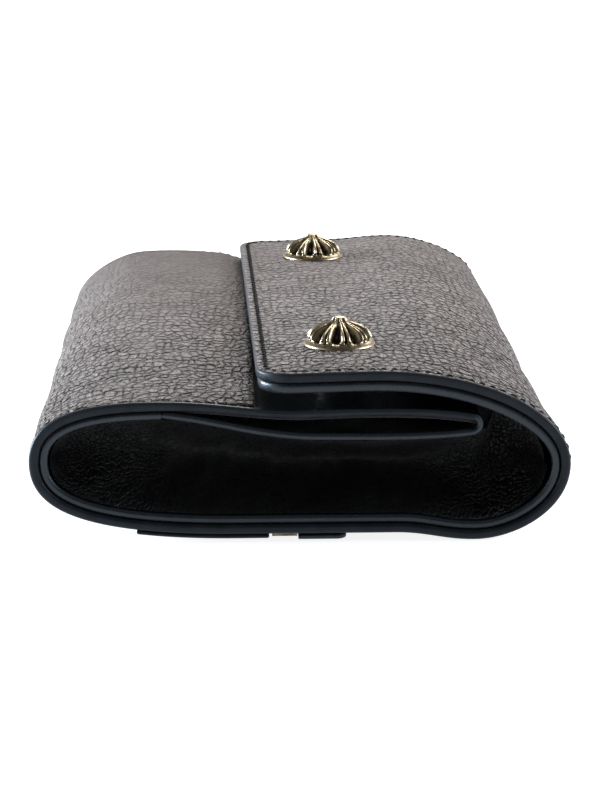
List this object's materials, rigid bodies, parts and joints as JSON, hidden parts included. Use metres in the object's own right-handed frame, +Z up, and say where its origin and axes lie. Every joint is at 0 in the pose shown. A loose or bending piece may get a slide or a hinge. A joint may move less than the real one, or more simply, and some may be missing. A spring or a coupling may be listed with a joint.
{
  "type": "chain wallet",
  "caption": "Compact pebbled-leather flap wallet lying on its back, with rounded folds, recessed side gussets, ribbed stud snaps, card slots, a back zip pocket and inner chain eyelets.",
  "frame": {"origin": "middle of the wallet's footprint on the table, with the wallet lying on its back", "axes": "+Y along the folds, +X from the bottom fold towards the spine, +Z up, out of the flap"},
  "size_m": [0.1022, 0.15, 0.0385],
  "materials": {
    "pebbled_leather": "pebbled grain, semi-gloss",
    "black_lining": "smooth, painted edges",
    "black_gusset_leather": "fine pebbled grain",
    "black_cloth": "twill",
    "stiffening_board": "matt",
    "card_slot_leather": "smooth",
    "snap_steel": "aged, satin",
    "antique_gold": "antique, dark in its grooves"
  },
  "bodies": {
    "shell": {"outer_leather": "pebbled_leather", "shell_lining": "black_lining", "front_panel_lining": "black_cloth", "front_pocket_panel": "black_lining", "gusset_left": "black_gusset_leather", "gusset_right": "black_gusset_leather", "card_backing_panel": "black_cloth", "card_slot_1": "card_slot_leather", "card_slot_2": "card_slot_leather", "card_slot_3": "card_slot_leather", "card_slot_4": "card_slot_leather", "divider_panel": "black_lining", "snap_post_left": "snap_steel", "snap_post_right": "snap_steel", "snap_washer_left": "snap_steel", "snap_washer_right": "snap_steel", "chain_tab_left": "black_lining", "chain_tab_right": "black_lining", "chain_eyelet_left": "antique_gold", "chain_eyelet_right": "antique_gold", "back_pocket_panel": "pebbled_leather", "zip_tape_lower": "black_cloth", "zip_tape_upper": "black_cloth", "zip_teeth_lower": "antique_gold", "zip_teeth_upper": "antique_gold", "zip_end_stops": "antique_gold"},
    "spine": {"spine_leather": "pebbled_leather", "spine_lining": "black_lining"},
    "flap": {"flap_leather": "pebbled_leather", "flap_stiffener": "stiffening_board", "flap_lining": "black_lining", "stud_cap_left": "antique_gold", "stud_cap_right": "antique_gold", "snap_socket_left": "snap_steel", "snap_socket_right": "snap_steel"},
    "zip_slider": {"zip_slider": "antique_gold"},
    "zip_pull": {"zip_pull_ring": "antique_gold", "zip_pull_tab": "black_lining"}
  },
  "joints": [
    {"name": "spine_fold", "type": "hinge", "parent": "shell", "child": "spine", "pos_m": [0.03929, 0, 0.00104], "axis": [0, 1, 0], "range_deg": [0, 30]},
    {"name": "flap_fold", "type": "hinge", "parent": "spine", "child": "flap", "pos_m": [0.04005, 0, 0.02769], "axis": [0, 1, 0], "range_deg": [0, 150]},
    {"name": "zip_slide", "type": "slide", "parent": "shell", "child": "zip_slider", "axis": [0, 1, 0], "range_m": [0, 0.124]},
    {"name": "zip_pull_swing", "type": "hinge", "parent": "zip_slider", "child": "zip_pull", "pos_m": [-0.003, -0.065, 0.0006], "axis": [1, 0, 0], "range_deg": [0, 100]}
  ]
}
